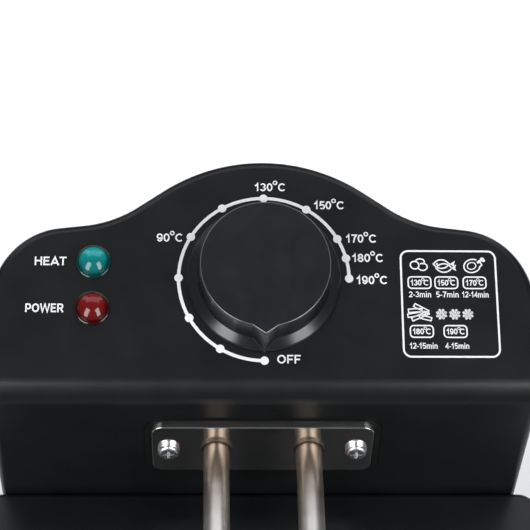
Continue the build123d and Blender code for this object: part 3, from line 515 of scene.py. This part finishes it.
def add_print(name, shape):
    """Gives flat artwork the thickness of a coat of ink, with its faces in a fixed order."""
    rims = [edge for edge in shape.edges if edge.is_boundary]
    under = {}
    for vertex in list(shape.verts):
        under[vertex] = shape.verts.new(vertex.co - Vector((0, 0, INK - INK_GAP)))
    for face in list(shape.faces):
        shape.faces.new([under[corner] for corner in list(face.verts)[::-1]])
    for edge in rims:
        first, second = edge.verts
        shape.faces.new((first, second, under[second], under[first]))
    bmesh.ops.recalc_face_normals(shape, faces=shape.faces)
    return add_piece(name, shape, ink, "head")


RING_RADIUS = 31.0
RING_LINE = 1.2
DOT_RADIUS = 1.55
CAPITAL = 3.2
LAMP_CAPITAL = 3.3
RING_START, RING_STOP = -90, -360  # degrees, from OFF clockwise to 190 °C
DOT_ANGLES = (-90, -120.8, -150.8, -180, -210.6, -240.5, -270, -300.5, -330.5, -345.5, -360)
dial_ring = bmesh.new()
stroke(dial_ring, arc(0, 0, RING_RADIUS, RING_RADIUS, RING_START, RING_STOP, 120), RING_LINE)
add_print("dial_ring", dial_ring)

dial_dots = bmesh.new()
for angle in DOT_ANGLES:
    dot_x = RING_RADIUS * math.cos(math.radians(angle))
    dot_y = RING_RADIUS * math.sin(math.radians(angle))
    ink_face(dial_dots, arc(dot_x, dot_y, DOT_RADIUS, DOT_RADIUS, steps=24), coats=2)
add_print("dial_dots", dial_dots)

dial_numbers = bmesh.new()
for number, number_x, number_y, number_width in (
    ("130", -3.4, 33.9, 11.7),
    ("150", 18.5, 26.9, 11.4),
    ("170", 30.0, 13.9, 11.5),
    ("180", 32.1, 6.4, 11.7),
    ("190", 33.5, -2.1, 11.6),
    ("90", -39.3, 13.9, 9.8),
):
    degrees_celsius(dial_numbers, number, number_x, number_y, number_width, CAPITAL)
words(dial_numbers, "OFF", 4.3, -32.0, 8.8, CAPITAL)
add_print("dial_numbers", dial_numbers)

lamp_words = bmesh.new()
words(lamp_words, "HEAT", -83.4, 4.6, 11.8, LAMP_CAPITAL)
words(lamp_words, "POWER", -86.0, -13.2, 14.0, LAMP_CAPITAL)
add_print("lamp_words", lamp_words)

# Cooking chart: millimetres from its upper left corner.
CHART_LEFT, CHART_TOP = 49.7, 11.1
CHART_WIDTH, CHART_HEIGHT = 35.4, 40.8
CHART_CORNER = 2.8
CHART_LINE = 0.68
ICON_LINE = 0.48
NUMBER_BOX = (8.3, 4.4, 1.3)  # width, height, corner
NUMBER_WIDTH, NUMBER_HEIGHT = 6.8, 2.2
MINUTES_HEIGHT = 2.25


def chart(points):
    return [(CHART_LEFT + x, CHART_TOP - y) for x, y in points]


chart_frame = bmesh.new()
stroke(
    chart_frame,
    chart(
        rounded_box(
            CHART_WIDTH / 2,
            CHART_HEIGHT / 2,
            CHART_WIDTH - CHART_LINE,
            CHART_HEIGHT - CHART_LINE,
            CHART_CORNER,
        )
    ),
    CHART_LINE,
    closed=True,
)
add_print("chart_frame", chart_frame)

chart_text = bmesh.new()
for number, box_x, box_y in (
    ("130", 6.95, 12.5),
    ("150", 16.75, 12.5),
    ("170", 27.1, 12.5),
    ("180", 7.1, 31.0),
    ("190", 19.3, 31.0),
):
    stroke(chart_text, chart(rounded_box(box_x, box_y, *NUMBER_BOX)), 0.5, closed=True)
    number_x, number_y = chart([(box_x - 3.35, box_y + NUMBER_HEIGHT / 2)])[0]
    degrees_celsius(
        chart_text, number, number_x, number_y, NUMBER_WIDTH, NUMBER_HEIGHT, line=0.24, room=1.2
    )
for minutes, minutes_x, minutes_y, minutes_width in (
    ("2-3min", 2.85, 18.1, 8.3),
    ("5-7min", 12.7, 18.1, 8.5),
    ("12-14min", 22.2, 18.1, 9.9),
    ("12-15min", 2.4, 37.5, 10.3),
    ("4-15min", 15.3, 37.5, 8.8),
):
    minutes_x, minutes_y = chart([(minutes_x, minutes_y)])[0]
    words(chart_text, minutes, minutes_x, minutes_y, minutes_width, MINUTES_HEIGHT, weight=0.15)
add_print("chart_text", chart_text)

chart_icons = bmesh.new()


def icon(points, width=ICON_LINE, closed=True):
    stroke(chart_icons, chart(points), width, closed)


def draw_nuggets(x, y):
    """Three rounded bites in a heap."""
    icon(arc(x - 1.5, y + 0.1, 1.6, 1.45, lean=15))
    icon(arc(x + 0.5, y - 1.25, 1.6, 1.1, -165, 60, 16), closed=False)
    icon(arc(x + 1.4, y + 0.75, 1.7, 1.35, -120, 165, 22), closed=False)


def draw_fish(x, y):
    """A fish over the outline of a second one, tails to the right."""
    for side, down in ((0, 0), (0.9, 1.5)):
        icon(arc(x - 0.7 + side, y + 1.3 + down, 3.2, 3.1, 200, 340, 18), closed=False)
        icon(arc(x - 0.7 + side, y - 1.6 + down, 3.2, 3.1, 20, 160, 18), closed=False)
        tail_x, tail_y = x + 2.4 + side * 0.4, y - 0.15 + down
        tail = [
            (tail_x, tail_y),
            (tail_x + 2.0, tail_y + 1.2),
            (tail_x + 1.5, tail_y),
            (tail_x + 2.0, tail_y - 1.3),
        ]
        ink_face(chart_icons, chart(tail))
    icon(arc(x - 2.3, y - 0.2, 0.3, 0.3, steps=10), 0.24)


def draw_drumstick(x, y):
    """A roast leg lying on its side, its bone to the upper right."""
    icon(arc(x - 0.7, y + 0.2, 3.1, 2.5, 40, 318, lean=-18), closed=False)
    icon(arc(x - 0.9, y + 0.2, 1.6, 1.3, lean=-18), 0.36)
    icon([(x + 1.2, y - 1.0), (x + 2.9, y - 2.2)], 0.9, closed=False)
    icon([(x + 1.8, y + 0.9), (x + 2.9, y - 0.2), (x + 2.2, y - 1.3)], closed=False)
    ink_face(chart_icons, chart(arc(x + 3.1, y - 2.5, 0.7, 0.6, steps=14)))
    ink_face(chart_icons, chart(arc(x + 3.6, y - 1.9, 0.6, 0.6, steps=14)))


CHIP_HALF_WIDTH = 0.62


def draw_chips(x, y):
    """Cut sticks of potato lying across each other."""
    for shift_x, shift_y, lean, length in (
        (-1.6, -0.9, 4, 5.0),
        (-1.2, 0.6, 10, 6.4),
        (0.6, -1.6, -28, 5.6),
        (0.2, 1.2, 24, 6.6),
        (2.0, 1.9, -14, 4.4),
    ):
        slant = math.radians(lean)
        half = length / 2
        outline = []
        for side, end in ((-1, -1), (-1, 1), (1, 1), (1, -1)):
            across, along = end * half, side * CHIP_HALF_WIDTH
            outline.append(
                (
                    x + shift_x + across * math.cos(slant) + along * math.sin(slant),
                    y + shift_y - across * math.sin(slant) + along * math.cos(slant),
                )
            )
        icon(outline, 0.42)


SPOKES = 8


def draw_snowflake(x, y):
    """A frosty disc: spokes with beads near their ends, gaps left open round the middle."""
    for step in range(SPOKES):
        angle = math.radians(360 * step / SPOKES + 22)
        tip = (x + 2.1 * math.cos(angle), y + 2.1 * math.sin(angle))
        icon([(x, y), tip], 0.56, closed=False)
        bead = (x + 1.5 * math.cos(angle), y + 1.5 * math.sin(angle))
        ink_face(chart_icons, chart(arc(*bead, 0.52, 0.52, steps=12)))
    icon(arc(x, y, 0.5, 0.5, steps=18), 0.6)


draw_nuggets(6.9, 5.7)
draw_fish(15.9, 5.5)
draw_drumstick(27.2, 5.8)
draw_chips(6.6, 24.0)
for flake_x in (14.5, 19.3, 24.1):
    draw_snowflake(flake_x, 24.5)
add_print("chart_icons", chart_icons)


# ------------------------------------------------------------ knob
def paint_edge_highlight(made, shader):
    """Painted highlight: lighter, smoother moulding on the rings the mesh marks round the top edge."""
    nodes, links = made.node_tree.nodes, made.node_tree.links
    highlight_mask = nodes.new("ShaderNodeAttribute")
    highlight_mask.attribute_name = "painted_edge_highlight"
    for socket, highlight_tone in (("Base Color", (0.10, 0.104, 0.11)), ("Roughness", (0.2, 0.2, 0.2))):
        plain = shader.inputs[socket].links[0].from_socket
        links.new(blend_colors(made, highlight_mask.outputs["Fac"], plain, highlight_tone), shader.inputs[socket])


NOSE_SECTOR = 14  # degrees each side of the pointer that are drawn in fine steps
FINE_STEP = 0.5
COARSE_STEPS = 160


def knob_outline(grip, tip, half_width, floor_radius):
    """Round grip with a pointed nose towards the user, never inside floor_radius."""
    shoulder = math.asin(half_width / grip)
    chord = math.sqrt(grip**2 - half_width**2)
    fine = [FINE_STEP * step for step in range(int(NOSE_SECTOR / FINE_STEP) + 1)]
    coarse_step = (360 - 2 * NOSE_SECTOR) / COARSE_STEPS
    coarse = [NOSE_SECTOR + coarse_step * step for step in range(1, COARSE_STEPS)]
    points = []
    for degrees in fine + coarse + [360 - angle for angle in reversed(fine[1:])]:
        angle = math.radians(degrees)
        away = min(angle, 2 * math.pi - angle)
        radius = grip
        if away < shoulder:
            slope = (tip - chord) * math.sin(away) + half_width * math.cos(away)
            radius = tip * half_width / slope
        radius = max(radius, floor_radius)
        points.append((radius * math.sin(angle), -radius * math.cos(angle)))
    return points


knob_low, knob_high = on_panel("control_knob")
KNOB_BASE, KNOB_TOP = knob_low.z, knob_high.z
KNOB_TIP = -knob_low.y
SKIRT_RADIUS = knob_high.x
SKIRT_EDGE, SKIRT_TOP = 1.8, 4.9
SKIRT_WIDTH = 3.5
SKIRT_EASE = 0.25
SKIRT_STEPS = 12
GRIP_RADIUS = SKIRT_RADIUS - SKIRT_WIDTH
GRIP_TAPER = math.tan(math.radians(3.6))
TIP_LEAN = 0.15
NOSE_HALF = 4.6
EDGE = 0.42  # rounding of the top's edge
EDGE_STEPS = 5
HIGHLIGHT_ABOVE, HIGHLIGHT_BELOW = 4, 2  # counted back from the last ring


def knob_ring(height, inset=0.0, skirt=0.0):
    rise = height - KNOB_BASE
    grip = GRIP_RADIUS - rise * GRIP_TAPER - inset
    tip = KNOB_TIP - rise * TIP_LEAN - inset * 1.25
    return [(x, y, height) for x, y in knob_outline(grip, tip, NOSE_HALF, skirt)]


rings = [
    knob_ring(KNOB_BASE, skirt=SKIRT_RADIUS - SKIRT_EASE),
    knob_ring(KNOB_BASE + SKIRT_EASE, skirt=SKIRT_RADIUS),
    knob_ring(SKIRT_EDGE - 0.2, skirt=SKIRT_RADIUS),
]
for step in range(1, SKIRT_STEPS + 1):
    share = step / SKIRT_STEPS
    height = SKIRT_EDGE + (SKIRT_TOP - SKIRT_EDGE) * share
    rings.append(knob_ring(height, skirt=SKIRT_RADIUS - SKIRT_WIDTH * share))
for height in (8.0, 12.0, KNOB_TOP - EDGE - 0.6):
    rings.append(knob_ring(height))
for step in range(EDGE_STEPS + 1):
    angle = math.radians(90 * step / EDGE_STEPS)
    rings.append(knob_ring(KNOB_TOP - EDGE + EDGE * math.sin(angle), EDGE * (1 - math.cos(angle))))
rings.append(knob_ring(KNOB_TOP, EDGE + 0.2))
knob_shape = bmesh.new()
painted_edge_highlight = knob_shape.verts.layers.float.new("painted_edge_highlight")
stack_rings(knob_shape, rings)
knob_shape.verts.ensure_lookup_table()
# Painted highlight: the rings round the top edge are marked for a lighter tone.
for number in range(len(rings) - HIGHLIGHT_ABOVE, len(rings) - HIGHLIGHT_BELOW):
    for index in range(len(rings[0])):
        knob_shape.verts[number * len(rings[0]) + index][painted_edge_highlight] = 1.0
bmesh.ops.recalc_face_normals(knob_shape, faces=knob_shape.faces)
knob_shader = surfaces["knob_black"].node_tree.nodes["Principled BSDF"]
knob_shader.inputs["Specular IOR Level"].default_value = 0.85
paint_edge_highlight(surfaces["knob_black"], knob_shader)
knob = add_piece("dial_knob", knob_shape, surfaces["knob_black"], "knob", 28)
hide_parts("control_knob")


# ------------------------------------------------------------ lamps
LENS_SIDES = 64
FLANGE_HEIGHT = 1.0
DOME_INSET = 0.85
DOME_STEPS = 17
DOME_FULLNESS = 0.92


def lens_rings(radius, height):
    """Flange with an eased edge, a small groove, and a dome over it."""
    dome = radius - DOME_INSET
    profile = [(radius - 0.15, 0.02), (radius, 0.15), (radius, 0.62)]
    profile += [(radius - 0.12, 0.88), (radius - 0.4, FLANGE_HEIGHT)]
    profile += [(dome + 0.12, FLANGE_HEIGHT), (dome, 0.92)]
    rise = height - FLANGE_HEIGHT
    for step in range(1, DOME_STEPS):
        angle = math.radians(90 * step / DOME_STEPS)
        reach = dome * math.cos(angle) ** DOME_FULLNESS
        profile.append((reach, FLANGE_HEIGHT + rise * math.sin(angle)))
    circle = [2 * math.pi * step / LENS_SIDES for step in range(LENS_SIDES)]
    return [
        [(reach * math.cos(angle), reach * math.sin(angle), up) for angle in circle]
        for reach, up in profile
    ]


def add_lamp(name, node, surface):
    low, high = on_panel(node)
    shape = bmesh.new()
    stack_rings(shape, lens_rings((high.x - low.x) / 2, high.z))
    bmesh.ops.recalc_face_normals(shape, faces=shape.faces)
    lens = add_piece(name, shape, surface, "head", 40)
    centre = (low + high) / 2 * MM
    lens.matrix_world = PANEL @ Matrix.Translation((centre.x, centre.y, 0))
    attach(lens, "head")
    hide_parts(node)


add_lamp("heat_lens", "heat_lamp_lens", surfaces["lens_green"])
add_lamp("power_lens", "power_lamp_lens", surfaces["lens_red"])


# ------------------------------------------------------------ floor, light and camera
FLOOR_TONES = ((0.80, 0.80, 0.80), (0.84, 0.84, 0.84))
FLOOR_SIZE = 8
FLOOR_DROP = 0.0002


def add_floor():
    made, shader = finish_of("pale_floor", FLOOR_TONES, (0.6, 0.7), 0.0, 300, 2, 0.0)
    shader.inputs["Emission Color"].default_value = (1, 1, 1, 1)
    shader.inputs["Emission Strength"].default_value = 0.02
    bpy.ops.mesh.primitive_grid_add(
        x_subdivisions=8, y_subdivisions=8, size=FLOOR_SIZE, location=(0, 0, -FLOOR_DROP)
    )
    floor = bpy.context.active_object
    floor.name = "studio_floor"
    floor.data.materials.append(made)
    return floor


def add_softbox(name, place, target, width, height, strength):
    """A rectangular area light whose strength is the radiance of its face."""
    light = bpy.data.lights.new(name, "AREA")
    light.shape = "RECTANGLE"
    light.size, light.size_y = width, height
    light.energy = strength * width * height * math.pi
    lamp = bpy.data.objects.new(name, light)
    bpy.context.scene.collection.objects.link(lamp)
    lamp.location = place
    aim = Vector(target) - Vector(place)
    lamp.rotation_euler = aim.to_track_quat("-Z", "Y").to_euler()
    return lamp


def around(centre, azimuth, elevation, distance):
    """A point as seen from centre: azimuth 0 is towards the user, positive to the right."""
    side, rise = math.radians(azimuth), math.radians(elevation)
    flat = distance * math.cos(rise)
    offset = (flat * math.sin(side), -flat * math.cos(side), distance * math.sin(rise))
    return Vector(centre) + Vector(offset)


floor = add_floor()
on_floor = bpy.data.collections.new("studio_floor_only")
on_floor.objects.link(floor)
off_floor = bpy.data.collections.new("all_but_studio_floor")
off_floor.objects.link(floor)
off_floor.collection_objects[0].light_linking.link_state = "EXCLUDE"

LIGHT_DISTANCE = 1.5
SOFTBOX_ELEVATION, SOFTBOX_STRENGTH = 29, 6.2
WING_ELEVATION, WING_STRENGTH = 33, 0.9
WING_TURN = 3.65  # a wing's azimuth over its softbox's
for side, azimuth in (("left", -38), ("right", 39.5)):
    place = around(dial, azimuth, SOFTBOX_ELEVATION, LIGHT_DISTANCE)
    front = add_softbox("softbox_" + side, place, dial, 0.6, 1.7, SOFTBOX_STRENGTH)
    place = around(dial, azimuth * WING_TURN, WING_ELEVATION, LIGHT_DISTANCE)
    rear = add_softbox("wing_" + side, place, dial, 0.5, 0.9, WING_STRENGTH)
    for light in (front, rear):
        light.light_linking.receiver_collection = off_floor
overhead = add_softbox("overhead", dial + Vector((0, 0.62, 1.35)), dial, 1.7, 0.9, 1.0)
overhead.light_linking.receiver_collection = off_floor
backdrop_light = add_softbox("backdrop_light", (0, 0.8, 0.75), (0, 0.7, 0), 2.4, 0.7, 2.6)
backdrop_light.data.spread = math.radians(130)
backdrop_light.light_linking.receiver_collection = on_floor

ZENITH_GLOW = (0.17, 0.185, 0.215)
HORIZON_GLOW = (0.14, 0.149, 0.158)
world = bpy.data.worlds.new("studio")
world.use_nodes = True
direction = world.node_tree.nodes.new("ShaderNodeTexCoord").outputs["Generated"]
split = world.node_tree.nodes.new("ShaderNodeSeparateXYZ")
world.node_tree.links.new(direction, split.inputs["Vector"])
climb = remap(world, split.outputs["Z"], 0, 1, 0.1, 0.95)
background = world.node_tree.nodes["Background"]
glow = blend_colors(world, climb, HORIZON_GLOW, ZENITH_GLOW)
world.node_tree.links.new(glow, background.inputs["Color"])
bpy.context.scene.world = world
bpy.context.scene.view_settings.view_transform = "Standard"

FOCAL_LENGTH, SENSOR_WIDTH = 108.68, 36
CAMERA_PLACE = dial + Vector((-20.07, -378.30, 440.71)) * MM
CAMERA_FORWARD = Vector((0.0351, 0.6572, -0.7529)).normalized()
CAMERA_UP = Vector((-0.0048, 0.7535, 0.6575)).normalized()
camera_right = CAMERA_FORWARD.cross(CAMERA_UP).normalized()
lens_data = bpy.data.cameras.new("camera")
lens_data.lens = FOCAL_LENGTH
lens_data.sensor_width = SENSOR_WIDTH
lens_data.clip_start = 0.01
camera = bpy.data.objects.new("camera", lens_data)
bpy.context.scene.collection.objects.link(camera)
camera_axes = Matrix((camera_right, camera_right.cross(CAMERA_FORWARD), -CAMERA_FORWARD))
camera.matrix_world = Matrix.Translation(CAMERA_PLACE) @ camera_axes.transposed().to_4x4()
bpy.context.scene.camera = camera
